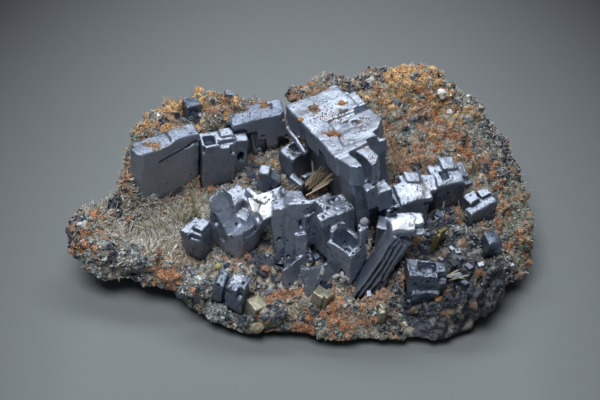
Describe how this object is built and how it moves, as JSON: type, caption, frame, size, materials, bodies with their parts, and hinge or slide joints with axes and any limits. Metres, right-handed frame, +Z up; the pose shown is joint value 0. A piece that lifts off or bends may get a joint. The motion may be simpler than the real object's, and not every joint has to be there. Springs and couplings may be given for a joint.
{
  "type": "mineral specimen",
  "caption": "Skeletal galena: stepped, hollowed metallic cubes standing in a rough plate of drusy, iron-stained rock with small pyrite crystals.",
  "frame": {"origin": "under the middle of the specimen's plan, on the surface that it rests on", "axes": "+X to the specimen's right, its longest extent; +Y to its back; +Z up, its shortest extent"},
  "size_m": [0.1398, 0.0869, 0.0473],
  "materials": {
    "matrix": "rough druse of quartz needles, sphalerite lumps and iron rust",
    "galena": "bright lead-grey metallic, pitted and stepped",
    "pyrite": "pale brassy metallic, striated"
  },
  "bodies": {
    "root": {"matrix": "matrix", "galena_plate": "galena", "galena_leaning_block": "galena", "galena_pitted_block": "galena", "galena_left_block": "galena", "galena_hollow_cluster": "galena", "galena_notched_cube": "galena", "galena_left_small_cube": "galena", "galena_right_plates": "galena", "galena_parallel_blades": "galena", "galena_low_block": "galena", "galena_dark_bar": "galena", "galena_front_cube": "galena", "galena_star_flakes": "galena", "galena_back_cube": "galena", "galena_right_cube": "galena", "galena_cube_with_hollow": "galena", "galena_rounded_cube": "galena", "galena_low_cube": "galena", "galena_bar": "galena", "pyrite_front_left": "pyrite", "pyrite_front_middle": "pyrite", "pyrite_front_right": "pyrite", "pyrite_upper_right": "pyrite"}
  },
  "joints": []
}
